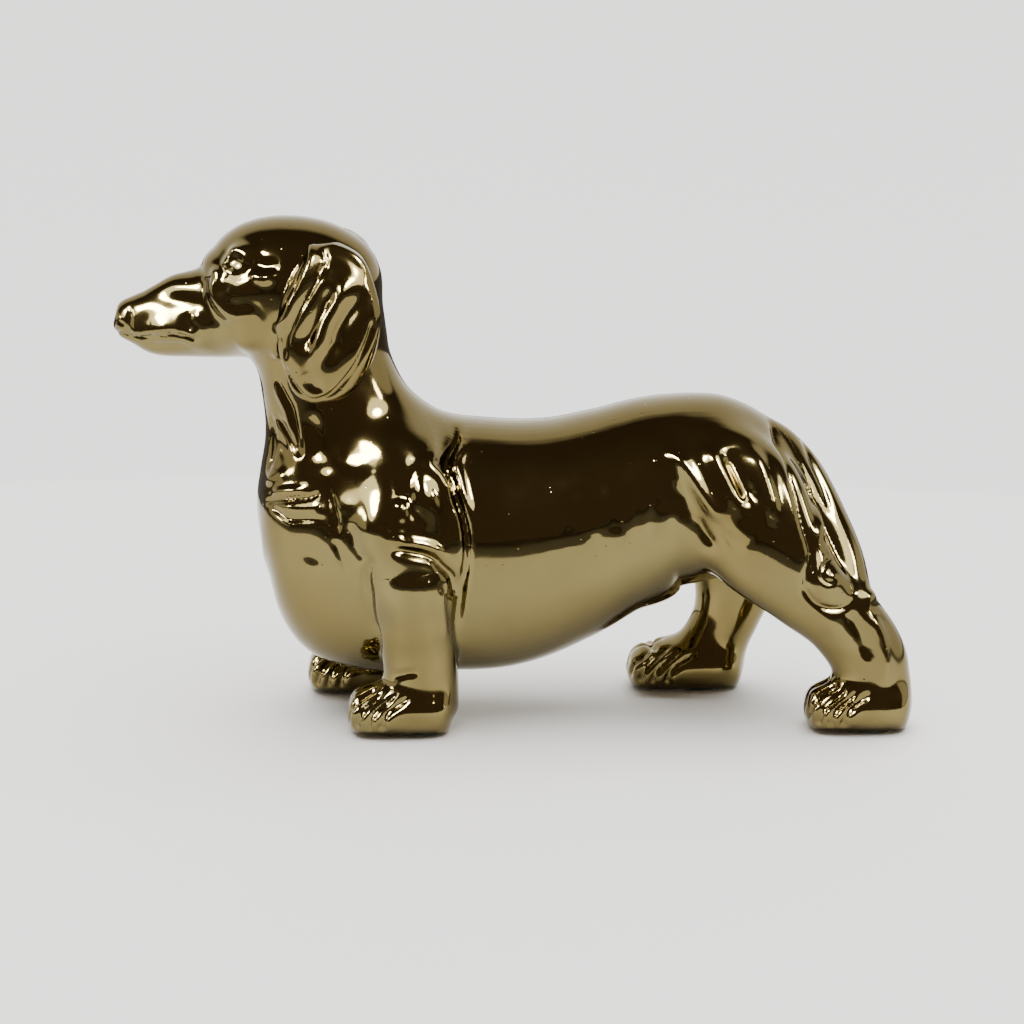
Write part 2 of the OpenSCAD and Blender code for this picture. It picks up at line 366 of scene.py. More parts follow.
def spline_weights(t):
    return ((1 - t)**3 / 6, (3 * t**3 - 6 * t**2 + 4) / 6,
            (-3 * t**3 + 3 * t**2 + 3 * t + 1) / 6, t**3 / 6)


def spline_slopes(t):
    return (-(1 - t)**2 / 2, (3 * t**2 - 4 * t) / 2, (-3 * t**2 + 2 * t + 1) / 2, t**2 / 2)


def refined(values):
    """Coarse values on the fine grid."""
    for axis in range(3):
        count = int((GRID_HIGH - GRID_LOW)[axis] / FINE) + 1
        place = np.arange(count) * FINE / STEP
        base = np.clip(place.astype(int), 1, values.shape[axis] - 3)
        change = np.zeros((count, values.shape[axis]), np.float32)
        for offset, weight in enumerate(spline_weights(place - base)):
            change[np.arange(count), base + offset - 1] += weight
        values = np.moveaxis(np.tensordot(change, values, (1, axis)), 0, axis)
    return values


def read(values, points):
    """The coarse distance at points, and its slope."""
    place = (points - GRID_LOW) / STEP
    base = np.clip(place.astype(int), 1, np.array(values.shape) - 3)
    part = (place - base).T
    weights = [spline_weights(t) for t in part]
    slopes = [spline_slopes(t) for t in part]
    flat = values.ravel()
    size = values.shape
    start = ((base[:, 0] - 1) * size[1] + base[:, 1] - 1) * size[2] + base[:, 2] - 1
    value = np.zeros(len(points))
    slope = np.zeros((len(points), 3))
    for i in range(4):
        for j in range(4):
            for k in range(4):
                found = flat[start + (i * size[1] + j) * size[2] + k]
                wx, wy, wz = weights[0][i], weights[1][j], weights[2][k]
                value += wx * wy * wz * found
                slope[:, 0] += slopes[0][i] * wy * wz * found
                slope[:, 1] += wx * slopes[1][j] * wz * found
                slope[:, 2] += wx * wy * slopes[2][k] * found
    return value, slope / STEP


def read_whole(rough, points):
    """The whole form's distance at points, and its slope."""
    value, slope = read(rough.core, points)
    for name, radius in FILLETS:
        field = getattr(rough, name)
        near = np.abs(sample(field, points)) < BAND - BAND_MARGIN
        if not near.any():
            continue
        other, other_slope = read(field, points[near])
        gap = value[near] - other
        overlap = np.maximum(radius - np.abs(gap), 0) / radius
        share = (gap <= 0) + overlap**2 / 2 * np.sign(gap)
        value[near] = np.minimum(value[near], other) - overlap**3 * radius / 6
        slope[near] = slope[near] * share[:, None] + other_slope * (1 - share)[:, None]
    return value, slope


def whole_surface(rough):
    """The whole form's skin: points, outward directions and quads."""
    values = refined(rough.core)
    for name, radius in FILLETS:
        values = blend(values, refined(getattr(rough, name)), radius)
    points, quads = surface(values, FINE)
    value, slope = read_whole(rough, points)
    size = np.linalg.norm(slope, axis=1)[:, None] + TINY
    off = np.clip(value[:, None] / size, -LARGEST_CORRECTION, LARGEST_CORRECTION)
    return points - off * slope / size, slope / size, quads


# ---------------------------------------------------------------- modelled details
# Each detail pushes the skin out or in. Places are (x, z) on the dog's left side, found on the
# skin by coming in along y, or (x, y, z). All are repeated on the right side, apart from those
# with both=False. Heights and widths are in millimetres.

CURVE_STEPS = 12             # points made on a path between two of its own
SEARCH_STEP = 0.5            # how finely place() looks for the skin


class Skin:
    """The dog's skin, and how far each of its points is pushed out."""

    def __init__(self, rough):
        self.points, self.normals, self.quads = whole_surface(rough)
        self.push = np.zeros(len(self.points))
        self.coarse = rough.core
        for name, _ in FILLETS:
            self.coarse = np.minimum(self.coarse, getattr(rough, name))

    def place(self, spots, side=-1):
        """Where lines along y at each (x, z) meet the skin, from outside."""
        spots = np.array(spots, float)
        across = np.arange(GRID_HIGH[1] - BAND_MARGIN, -BAND_MARGIN, -SEARCH_STEP)
        line = np.stack([np.repeat(spots[:, :1], len(across), 1),
                         np.repeat(side * across[None], len(spots), 0),
                         np.repeat(spots[:, 1:2], len(across), 1)], -1)
        inside = sample(self.coarse, line.reshape(-1, 3)).reshape(line.shape[:2]) < 0
        first = np.where(inside.any(1), inside.argmax(1), len(across) - 1)
        return line[np.arange(len(spots)), first]

    def near(self, spots, reach):
        """The vertices in the box about some spots."""
        low = np.min(spots, 0) - reach
        high = np.max(spots, 0) + reach
        return np.flatnonzero(((self.points > low) & (self.points < high)).all(1))

    def follow(self, path, reach, side, ends):
        """Vertices near a path: which, how far, on which side of it, and the ends' taper."""
        spots = self.place(path, side) if len(path[0]) == 2 else np.array(path, float)
        spots = np.vstack([2 * spots[0] - spots[1], spots, 2 * spots[-1] - spots[-2]])
        line = np.array([catmull_rom(*spots[i:i + 4], t) for i in range(len(spots) - 3)
                         for t in np.linspace(0, 1, CURVE_STEPS, endpoint=False)] + [spots[-2]])
        which = self.near(line, reach)
        if not len(which):
            return which, None, None, None
        skin = self.points[which]
        apart = ((skin**2).sum(1)[:, None] - 2 * skin @ line.T + (line**2).sum(1)[None])
        closest = apart.argmin(1)
        # The foot of each vertex on the line
        before = np.clip(closest - 1, 0, None)
        after = np.clip(closest + 1, None, len(line) - 1)
        tangent = line[after] - line[before]
        length = np.linalg.norm(tangent, axis=1)[:, None] + TINY
        tangent /= length
        offset = skin - line[closest]
        along = np.clip((offset * tangent).sum(1)[:, None], -length / 2, length / 2)
        offset = offset - along * tangent
        beside = (np.cross(tangent, self.normals[which]) * offset).sum(1)
        place = (closest + 0.5 * along[:, 0] / length[:, 0]) / (len(line) - 1)
        taper = np.ones(len(which))
        if ends > 0:
            taper = np.clip(np.minimum(place, 1 - place) / ends, 0, 1)
            taper = taper * taper * (3 - 2 * taper)
        return which, np.linalg.norm(offset, axis=1), beside, taper

    def line(self, path, height, width, sharp=False, ends=0.3, both=True):
        """A ridge along a path, or with a negative height a groove. A sharp one is a crease."""
        for side in (-1, 1) if both else (-1,):
            which, far, _, taper = self.follow(mirrored(path, side), width * 4, side, ends)
            if len(which):
                shape = np.exp(-far / width) if sharp else np.exp(-(far / width)**2)
                self.push[which] += height * shape * taper

    def fold(self, path, height, width, edge=0.5, ends=0.2, both=True):
        """A step along a path: the skin on its right stands proud at once, then sinks back."""
        for side in (-1, 1) if both else (-1,):
            which, far, beside, taper = self.follow(mirrored(path, side), width * 3, side, ends)
            if len(which):
                beside = beside * -side
                rise = 1 / (1 + np.exp(np.clip(-beside / edge * 2, -40, 40)))
                self.push[which] += height * taper * rise * np.exp(-(far / width)**2)

    def bump(self, spot, radii, height, turn=0.0, both=True):
        """A swelling, or with a negative height a dent, about a place."""
        for side in (-1, 1) if both else (-1,):
            if len(spot) == 2:
                centre = self.place([spot], side)[0]
            else:
                centre = np.array(spot) * (1, -side, 1)
            which = self.near(centre[None], max(radii) * 2.2)
            away = self.points[which] - centre
            cosine = math.cos(math.radians(turn))
            sine = math.sin(math.radians(turn))
            long_way = (away[:, 0] * cosine + away[:, 2] * sine) / radii[0]
            short_way = (away[:, 2] * cosine - away[:, 0] * sine) / radii[1]
            inward = away[:, 1] / max(radii)
            self.push[which] += height * np.exp(-(long_way**2 + short_way**2 + inward**2))

    def finished(self):
        """The skin with its details, as points and quads."""
        return self.points + self.normals * self.push[:, None], self.quads


def mirrored(path, side):
    """A path for one side. Only a path with y in it changes."""
    return [(x, -side * y, z) for x, y, z in path] if len(path[0]) == 3 else path


IRONING_ROUNDS = 4
IRONING_SHARES = (0.45, -0.47)     # towards the neighbours, then back out by about as much


def ironed(points, quads):
    """The points with the grid's own ripple taken out, at no cost in size."""
    ends = np.vstack([quads[:, [i, (i + 1) % 4]] for i in range(4)])
    count = np.bincount(ends[:, 0], minlength=len(points)).astype(float)
    count += np.bincount(ends[:, 1], minlength=len(points))
    for _ in range(IRONING_ROUNDS):
        for share in IRONING_SHARES:
            total = np.stack([
                np.bincount(ends[:, 0], points[ends[:, 1], axis], minlength=len(points))
                + np.bincount(ends[:, 1], points[ends[:, 0], axis], minlength=len(points))
                for axis in range(3)], -1)
            points = points + share * (total / np.maximum(count, 1)[:, None] - points)
    return points


def model_head(skin):
    # Muzzle: nose pad, nostrils, mouth, lower lip and the fold at the mouth's corner
    skin.line([(-112.4, 126.4), (-112.2, 122.6), (-112.8, 119.4), (-113.4, 117.4)], -0.7, 0.8)
    skin.line([(-112.2, 117), (-114.6, 117.2), (-116, 117.4)], -1.1, 0.8, ends=0.1)
    skin.line([(-116, 2, 117.4), (-116.8, 0, 117.4), (-116, -2, 117.4)],
              -1.0, 0.8, ends=0, both=False)
    skin.bump((-115, 120.6), (1.8, 1.6), 0.4)
    skin.line([(-116.2, 121.6), (-114.8, 120.4), (-113.8, 120.6)], -0.9, 0.6)
    skin.line([(-117, 0, 122), (-117, 0, 119), (-116, 0, 116)], -0.7, 0.6, both=False)
    mouth = [(-92.6, 116.4), (-95, 117.7), (-98, 118.5), (-101, 118.6), (-104, 118),
             (-107, 117.2), (-110, 116.6), (-113, 117)]
    skin.fold(mouth, 1.5, 3.4, edge=0.35, ends=0.12)
    skin.line(mouth, -1.9, 0.75, sharp=True, ends=0.08)
    skin.line([(-109, 114.2), (-104, 114.6), (-98, 114.8), (-94, 114)], -0.7, 1.5)
    skin.line([(-94.4, 125), (-92, 122.6), (-90.6, 120.3), (-91.6, 117)], 0.8, 2)
    skin.line([(-97, 123.4), (-94.8, 121.2), (-93.8, 118.8)], -0.5, 1.8)
    skin.bump((-97, 127.6), (8, 3), -1.1, turn=-8)
    skin.line([(-109, 118.6), (-101, 117.6), (-93, 116.4), (-86, 115.4)], 1.4, 4.2)
    # Cheekbone, the pouch under the eye, and the cheek
    cheekbone = [(-85.4, 138.4), (-86.2, 136.4), (-86.2, 134), (-87, 131), (-86, 128),
                 (-83.6, 125.8), (-80.4, 124.8), (-77.2, 125.4), (-74.4, 127.4)]
    skin.line(cheekbone, 1.5, 2.3, ends=0.15)
    skin.line([(-90, 134.8), (-90.4, 132.6), (-91, 130), (-89.6, 126), (-86.6, 122.6),
               (-82.4, 121.4)], -0.35, 2.4, ends=0.2)
    skin.bump((-80.4, 130), (6.4, 3.8), 1.3, turn=10)
    skin.bump((-78.8, 117.6), (7.4, 6), 2.8, turn=15)
    # Eye: socket, ball, lids and the brow's fold behind it
    skin.bump((-80.4, 138), (5.6, 4.2), -0.9)
    skin.bump((-80.6, 137.9), (3.4, 2.5), 1.1, turn=-14)
    skin.line([(-84.4, 137), (-83, 140), (-80.8, 141.8), (-78.2, 141), (-76, 138.4)],
              1.0, 1.6, ends=0.15)
    skin.line([(-84.6, 135), (-82, 133.8), (-79, 133.8), (-76.4, 135)],
              0.5, 1.8, ends=0.2)
    skin.line([(-77, 137.6), (-74.6, 135.6), (-71.4, 135.4), (-67.6, 137.4)], 1.2, 1.8)
    skin.line([(-76.6, 141.6), (-74, 139.4), (-70.8, 138.8), (-67.4, 140)], -0.8, 1.9)
    skin.line([(-83.4, 140.6), (-80.4, 142.8), (-77, 142.8), (-73.6, 141.4)], 0.9, 2.1)


def model_ears(skin):
    # The rolled front edge, and the groove that runs inside the rim
    rolled = [(-58.6, 145.4), (-58.4, 142), (-59.8, 137.8), (-62, 133.2), (-64.4, 128.7),
              (-66.7, 123.8), (-68.8, 118.8), (-69.4, 114.8), (-68.8, 110.4)]
    skin.line(rolled, 1.5, 1.5, ends=0.08)
    inner = [(-56, 145), (-54.8, 142), (-56, 138.2), (-58.4, 133.7), (-61, 129.3),
             (-63.5, 124.6), (-65.6, 120), (-66.4, 116.4), (-66.6, 111.5), (-65.6, 107.8),
             (-63.6, 104.4), (-61.2, 101.8), (-58.8, 100.8), (-55.6, 101.5), (-51.8, 104.4),
             (-47.8, 109.6), (-44.8, 115), (-42.4, 120.4), (-41.4, 125)]
    skin.line(inner[:9], -1.0, 0.9, ends=0.1)
    skin.line(inner[8:], -1.0, 0.8, ends=0.08)
    # Flutes down the flap, the dents between them, and the fold along its top
    skin.line([(-52.6, 136), (-53.8, 130.6), (-56.6, 124.6), (-60.4, 118.8), (-63.2, 114.4)],
              -2.1, 2.5)
    skin.line([(-47, 137), (-50, 132.4), (-53.8, 126.8), (-56.4, 121.4), (-57.6, 115.6),
               (-59, 109)], 1.5, 2.0)
    skin.line([(-43.4, 133.4), (-46.8, 127.6), (-50.6, 121.8), (-52.2, 116.6), (-55.6, 110)],
              -1.8, 2.1)
    skin.line([(-60, 108.4), (-58.4, 105), (-55, 104.6)], -1.0, 2.0)
    skin.bump((-52.6, 139), (4.6, 3), -1.2, turn=-20)
    skin.bump((-45.8, 114.6), (3.6, 7), 1.3, turn=-25)
    skin.line([(-57.8, 144), (-53, 144.4), (-48.4, 143), (-44.4, 139.6), (-42, 134.4)], 1.0, 1.5)


def model_chest(skin):
    # Throat folds, from the jaw down to the chest
    skin.line([(-71.8, 94.7), (-71.3, 91.2), (-71.2, 86.9), (-71.4, 82.4), (-71.9, 79.4),
               (-72.6, 75.6)], -0.9, 1.2)
    skin.line([(-71.2, 94.6), (-68.7, 91.8), (-66.3, 88), (-64.2, 84.5), (-61.8, 82)], -0.9, 1.2)
    skin.line([(-68.4, 109), (-69.2, 104.6), (-67.4, 100.4), (-65.4, 96.4), (-64.4, 91.3),
               (-63, 85.5), (-61.6, 82.6)], -0.9, 1.1)
    skin.line([(-70.8, 104.4), (-69.2, 100), (-66.9, 95.4), (-65.6, 91), (-64.4, 87)], 0.6, 1.1)
    skin.bump((-68.4, 84.6), (2.4, 4.4), -0.9, turn=20)
    skin.line([(-60, 96), (-57.6, 88), (-57.4, 81)], -0.7, 2.2)
    skin.line([(-52.6, 95), (-51.6, 87.6), (-51.8, 80)], 0.6, 1.8)
    # Breastbone, and the creases that run back from it
    skin.line([(-74, 67.6), (-69.6, 69.8), (-64.9, 71), (-60.2, 71.8), (-56.6, 73.6)],
              -0.9, 0.8, ends=0.15)
    skin.line([(-71.6, 70.6), (-69, 72.2), (-64.3, 73.2), (-59.4, 74.4)], 0.8, 1.3)
    skin.line([(-72.4, 67.6), (-70.5, 66.8), (-66.5, 65), (-61.3, 65.4), (-54, 65.8)], -0.8, 0.9)
    skin.line([(-70.4, 68.4), (-65.4, 68.2), (-60, 68.8), (-56.4, 69.8)], 0.5, 1.3)
    skin.line([(-54.6, 75.5), (-53.8, 72), (-52.9, 68), (-52.3, 64.8), (-52.6, 60)], -0.9, 1.0)
    # Tufts above the breastbone, and the hollow below it
    skin.bump((-71.8, 75), (2.4, 1.8), 0.7)
    for spot in ((-69, 76.5), (-54.4, 77.6), (-50.2, 81.4), (-46.3, 81), (-49.4, 70), (-56, 68)):
        skin.bump(spot, (2.6, 2.2), 0.45)
    skin.bump((-60, 55), (4.5, 3.6), -0.8, turn=-15)
    skin.line([(-53.6, 61), (-51.4, 55.8), (-48.8, 49.6)], -0.5, 1.2)


def model_shoulders(skin):
    # The long crease behind the shoulder, with a ridge on each side of it
    skin.line([(-17.5, 90.4), (-17.3, 87), (-19.6, 83), (-20.4, 80), (-18.8, 77.2),
               (-17.9, 73.1), (-15.9, 68.4), (-14.8, 62.6), (-14.7, 54.9), (-16.2, 46),
               (-17.4, 36), (-17.6, 26)], -1.7, 1.4, ends=0.14)
    skin.line([(-23.4, 91), (-24.6, 85), (-25.6, 81.6), (-22.4, 78), (-19.8, 73.4),
               (-18.2, 69)], 1.5, 2.2)
    skin.line([(-14.6, 89.6), (-15.8, 85), (-17.8, 81), (-16.4, 75), (-14.4, 68),
               (-12.8, 61)], 1.1, 1.6)
    # Shoulder muscles, and the dimples between them
    skin.bump((-26.6, 73), (4.4, 7), 1.8, turn=12)
    skin.line([(-29.6, 84), (-31, 77), (-30.4, 70), (-27.6, 64)], -1.0, 1.8)
    skin.bump((-41, 64), (6.4, 7.4), 2.6)
    skin.line([(-36.6, 83), (-34.4, 76), (-33.8, 70)], -0.8, 2.4)
    skin.line([(-34.8, 73.6), (-33.4, 69.6), (-33.6, 65.6)], 0.7, 1.5)
    skin.bump((-31.8, 73.4), (1.6, 1.2), -0.6)
    skin.line([(-38.9, 67), (-37.6, 64.4), (-36.6, 62)], -0.5, 0.8)
    skin.line([(-34.4, 64.4), (-32.6, 62.2), (-31, 60.2)], -0.5, 0.8)
    skin.line([(-48.4, 66), (-46.6, 59), (-43.4, 53.6)], -0.8, 1.8)
    # The crease over the upper arm, and the ridge above it
    skin.line([(-37, 58.6), (-31, 57.6), (-25.4, 55.9), (-21.6, 52.3), (-18.8, 48.6),
               (-18.4, 42)], -1.6, 1.3, ends=0.12)
    skin.line([(-36.4, 61.4), (-30.6, 60.6), (-24.6, 58.8), (-20, 55.4)], 1.2, 1.5)


def model_forelegs(skin):
    # The left leg only: the upper arm, its front crease and back edge, and the wrist
    skin.bump((-31, 49), (8.4, 8), 1.5, both=False)
    skin.line([(-41.6, 57), (-43.4, 50), (-42.8, 43), (-42, 36), (-40.6, 29), (-40, 22)],
              -1.3, 1.4, ends=0.12, both=False)
    skin.line([(-22.6, 47.4), (-22, 41.4), (-21.2, 35), (-20.8, 29)], 0.5, 1.2, both=False)
    skin.bump((-39.4, 36), (3, 6), -0.6, both=False)
    skin.line([(-37, 18.4), (-32.4, 20.2), (-28.4, 20.8)], -0.6, 1.1, both=False)
    skin.bump((-28, 26), (6, 4), -0.4, both=False)


def model_paw(skin, at, stretch=1.0):
    """Four toes: creases on the outer side and over the front, and the same on the inner side."""
    toes = [[(-9.6, 15.2), (-14.4, 12.6), (-18.2, 8.6), (-18.8, 4)],
            [(-7.6, 14.6), (-13, 10.6), (-16, 6), (-16.4, 3)],
            [(-4.6, 14.2), (-10.2, 9.8), (-12.8, 6), (-13, 3)],
            [(-0.6, 13.8), (-6.6, 9.6), (-9, 6), (-9.2, 3)]]
    outer = -1 if at[1] < 0 else 1
    for path in toes:
        spots = skin.place([(at[0] + x * stretch, z) for x, z in path], outer)
        inner = spots * (1, -1, 1) + (0, 2 * at[1], 0)
        for line in (spots, inner):
            skin.line([tuple(p) for p in line], -1.4, 1.05, ends=0.2, both=False)
    front = [(at[0] - 9 * stretch, at[1], 15.4), (at[0] - 15 * stretch, at[1], 13),
             (at[0] - 19.4 * stretch, at[1], 7), (at[0] - 20 * stretch, at[1], 3)]
    skin.line(front, -1.2, 0.95, ends=0.2, both=False)
    for x, z in ((-16.6, 8.2), (-14.6, 5.6), (-11.4, 5.6), (-7.4, 6)):
        knuckle = skin.place([(at[0] + x * stretch, z)], outer)[0]
        for side in (1, -1):
            spot = knuckle * (1, side, 1) + (0, at[1] * (1 - side), 0)
            skin.bump(tuple(spot), (2, 3.6), 0.8, turn=-30, both=False)


def model_rear(skin):
    # The left thigh: its front edge, and the long muscles behind that
    skin.fold([(76, 52), (66.4, 55.6), (61.9, 60.6), (57.9, 67), (53.4, 73.3), (49.6, 78.9),
               (46, 82.8), (41.6, 85)], 1.3, 6, edge=1.4, ends=0.25, both=False)
    skin.line([(41.6, 84.4), (46, 82.4), (49.8, 78.4), (53.6, 72.8), (58, 66.6), (62, 60.4)],
              1.3, 2.0, both=False)
    skin.line([(43, 78), (47.4, 72.6), (51, 66.4), (55.4, 59.6), (61, 54.4)], -1.5, 3.0, both=False)
    skin.line([(61, 86), (64.6, 78), (69.4, 68.4)], -2.0, 2.6, both=False)
    skin.line([(54.6, 87), (58.6, 81.4), (62.6, 74), (66.4, 65)], 1.4, 2.6, both=False)
    skin.line([(67.4, 87), (71, 80), (73.4, 71.4), (75.6, 62)], 1.5, 2.4, both=False)
    skin.line([(58, 68), (62, 61.4), (68, 56)], -1.0, 2.4, both=False)
    skin.line([(52, 66.6), (54.4, 61.4), (57, 56.6)], -0.7, 1.2, both=False)
    # Tail: its front edge, blunt tip and the curl of hair on it
    skin.line([(75.4, 90.4), (77.4, 85.6), (80.2, 78.4), (82.2, 70), (83.8, 62.8), (85.6, 56),
               (84.4, 50), (84, 45.4), (86.6, 41.6), (90.6, 39.4), (95.4, 39.4), (99.6, 42)],
              -1.8, 1.1, sharp=True, ends=0.08, both=False)
    skin.line([(80.6, 86), (84.6, 78), (87.2, 70), (89, 62), (89.6, 56)], 1.0, 2.2, both=False)
    skin.line([(83, 86.6), (88, 78.6), (91.4, 70.6), (93.6, 62)], -0.8, 1.2, both=False)
    skin.bump((91, 47.4), (6, 5.6), 2.0, both=False)
    skin.line([(94.6, 52.4), (90.4, 52.6), (88.2, 49.6), (90.2, 47), (93.4, 47.6)],
              -0.8, 0.8, both=False)
    # Hock and the sinew above the heel
    skin.bump((103.6, 41.4), (3.6, 3.2), 1.6, both=False)
    skin.line([(101, 39), (106, 32), (108.4, 23), (108.6, 14)], 1.2, 2.2, both=False)
    skin.line([(95.4, 39.6), (100.6, 31.6), (103.4, 22)], -1.1, 2.0, both=False)
    skin.line([(88, 38.6), (94, 31), (97.6, 22.6)], 0.6, 2.4, both=False)
    # The right thigh, on the leg that is set forward
    skin.line([(47, 26, 80), (50, 30, 72), (52, 32, 62), (54, 32, 52)], -1.0, 3, both=False)
    skin.line([(66, 30, 80), (68, 32, 70), (70, 32, 60)], -0.8, 2.6, both=False)
    # Belly, sheath and the flank's slight folds
    skin.bump((44, 0, 39), (10, 7), 3.2, both=False)
    for x, top, foot, height in ((15, 74, 62, 0.2), (23, 77, 57, 0.35), (29.5, 73, 60, -0.3),
                                 (33, 76, 54, 0.3), (40, 74, 58, -0.35), (44, 70, 60, 0.2)):
        skin.line([(x + 2.5, top), (x, (top + foot) / 2), (x - 0.5, foot)], height, 2)


# ---------------------------------------------------------------- pieces

# The same cuts as in the CAD: a place on each, and its tilt about y in degrees
NECK_CUT = (-52, 0, 96)
NECK_TILT = -11.5
HIND_LEFT_CUT = (83, -22.5, 46)
HIND_LEFT_TILT = 138
HIND_RIGHT_CUT = (69, 22, 30)
HIND_RIGHT_TILT = 180
SLIP = 0.6                   # thickness of the slip in a joint
PAD_TOP = 0.8                # the felt pads fill the space up to here
LEG_GAP = 6                  # half the space between the hind legs' cuts
BELLY_END = 34               # the hind legs' cuts stay behind this
FAR = 300                    # past the whole figurine
LUTED = ("ear_left", "ear_right", "tail", "foreleg_left", "foreleg_right")
LUTED_REACH = 1.6            # how far round a luted piece's rough form its own skin reaches


def joined(a, b, operation):
    """A new object: a with b cut away (DIFFERENCE), or only what is in both (INTERSECT)."""
    change = a.modifiers.new("cut", "BOOLEAN")
    change.solver = "MANIFOLD"
    change.operation = operation
    change.object = b
    mesh = bpy.data.meshes.new_from_object(
        a.evaluated_get(bpy.context.evaluated_depsgraph_get()))
    a.modifiers.remove(change)
    made = bpy.data.objects.new("part", mesh)
    bpy.context.scene.collection.objects.link(made)
    return made


def box(low, high, turn=0.0, at=(0, 0, 0)):
    """A closed box, turned about y by degrees at a point."""
    corners = np.array([(x, y, z) for x in (low[0], high[0]) for y in (low[1], high[1])
                        for z in (low[2], high[2])], float)
    cosine = math.cos(math.radians(turn))
    sine = math.sin(math.radians(turn))
    turned = np.stack([corners[:, 0] * cosine + corners[:, 2] * sine, corners[:, 1],
                       corners[:, 2] * cosine - corners[:, 0] * sine], -1) + at
    faces = [(0, 1, 3, 2), (4, 6, 7, 5), (0, 4, 5, 1), (2, 3, 7, 6), (0, 2, 6, 4), (1, 5, 7, 3)]
    return mesh_object("box", turned, faces)


def past(at, tilt, low, high):
    """The slab between two distances past a cut."""
    return box((-FAR, -FAR, low), (FAR, FAR, high), tilt, at)


def past_hind(at, tilt, low, high):
    """The same slab, kept to one hind leg's side and behind the belly."""
    inner, outer = (LEG_GAP, FAR) if at[1] > 0 else (-FAR, -LEG_GAP)
    bounds = box((BELLY_END, inner, -FAR), (FAR, outer, FAR))
    return joined(past(at, tilt, low, high), bounds, "INTERSECT")


def level_object(values, level):
    """A closed object from the coarse grid, level millimetres outside its form."""
    points, quads = surface(values, STEP, level)
    return mesh_object("level", points, outward(points, quads).tolist())


def outward(points, quads):
    """The quads, turned to face out if they face in."""
    a, b, c, d = (points[quads[:, i]] for i in range(4))
    volume = (np.cross(c - a, d - b) * (a + c)).sum()
    return quads if volume > 0 else quads[:, ::-1]


def cut_apart(skin_object, rough):
    """Every casting, pressed piece and slip, cut from one skin so that the joints meet."""
    pieces = {}
    core = level_object(rough.core, 0)
    slip_skin = level_object(rough.core, SLIP)
    body = skin_object
    for name in LUTED:
        reach = level_object(getattr(rough, name), LUTED_REACH)
        beyond = joined(reach, core, "DIFFERENCE")
        whole = joined(body, beyond, "INTERSECT")
        body = joined(body, beyond, "DIFFERENCE")
        pieces[name] = joined(whole, slip_skin, "DIFFERENCE")
        pieces["slip_" + name] = joined(whole, slip_skin, "INTERSECT")
    half = SLIP / 2
    for name, slip, cutter, at, tilt in (
            ("head", "slip_neck", past, NECK_CUT, NECK_TILT),
            ("hindleg_left", "slip_hindleg_left", past_hind, HIND_LEFT_CUT, HIND_LEFT_TILT),
            ("hindleg_right", "slip_hindleg_right", past_hind, HIND_RIGHT_CUT, HIND_RIGHT_TILT)):
        pieces[name] = joined(body, cutter(at, tilt, half, FAR), "INTERSECT")
        pieces[slip] = joined(body, cutter(at, tilt, -half, half), "INTERSECT")
        body = joined(body, cutter(at, tilt, -half, FAR), "DIFFERENCE")
    pieces["torso"] = body
    return pieces


SEAM_ANGLE = math.radians(38)
ON_SKIN = 0.02 * MM          # a cut edge's vertex lies this close to the uncut skin
FACES_OUT = 0.75             # a corner's face and the skin's normal agree at least this well


class Uncut:
    """The whole skin before the cuts, for its normals."""

    def __init__(self, mesh):
        self.points = [v.co.copy() for v in mesh.vertices]
        self.polygons = [tuple(p.vertices) for p in mesh.polygons]
        self.tree = BVHTree.FromPolygons(self.points, self.polygons)
        normals = np.zeros(len(self.points) * 3)
        mesh.vertices.foreach_get("normal", normals)
        self.normals = normals.reshape(-1, 3)

    def normal_at(self, spot):
        """The skin's normal near a spot, not yet of unit length, or zero away from the skin."""
        found, _, polygon, apart = self.tree.find_nearest(spot)
        if found is None or apart > ON_SKIN:
            return np.zeros(3)
        corners = list(self.polygons[polygon])
        weight = np.array([1 / ((spot - self.points[c]).length + 1e-7) for c in corners])
        return (self.normals[corners] * weight[:, None]).sum(0)


def seam_normals(piece, uncut):
    """Shades each cut edge as the uncut skin is, so that joints under the gilding don't show."""
    mesh = piece.data
    mesh.shade_smooth()
    mesh.set_sharp_from_angle(angle=SEAM_ANGLE)
    sharp = np.zeros(len(mesh.edges), bool)
    mesh.attributes["sharp_edge"].data.foreach_get("value", sharp)
    ends = np.zeros(len(mesh.edges) * 2, np.int32)
    mesh.edges.foreach_get("vertices", ends)
    on_seam = np.zeros(len(mesh.vertices), bool)
    on_seam[ends.reshape(-1, 2)[sharp].ravel()] = True
    skin_normal = np.zeros((len(mesh.vertices), 3))
    for i in np.flatnonzero(on_seam):
        skin_normal[i] = uncut.normal_at(mesh.vertices[i].co)
    size = np.linalg.norm(skin_normal, axis=1)
    skin_normal[size > 0] /= size[size > 0][:, None]
    corner_vertex = np.zeros(len(mesh.loops), np.int32)
    mesh.loops.foreach_get("vertex_index", corner_vertex)
    face_normal = np.zeros(len(mesh.polygons) * 3)
    mesh.polygons.foreach_get("normal", face_normal)
    counts = np.zeros(len(mesh.polygons), np.int32)
    mesh.polygons.foreach_get("loop_total", counts)
    corner_face = np.repeat(face_normal.reshape(-1, 3), counts, 0)
    chosen = skin_normal[corner_vertex]
    chosen[(chosen * corner_face).sum(1) < FACES_OUT] = 0
    mesh.normals_split_custom_set(chosen.tolist())


# ---------------------------------------------------------------- materials

def shader(name, base, metallic, roughness):
    """A new material, its node tree and its shader node."""
    material = bpy.data.materials.new(name)
    material.use_nodes = True
    gloss = material.node_tree.nodes["Principled BSDF"]
    gloss.inputs["Base Color"].default_value = (*base, 1)
    gloss.inputs["Metallic"].default_value = metallic
    gloss.inputs["Roughness"].default_value = roughness
    return material, material.node_tree, gloss


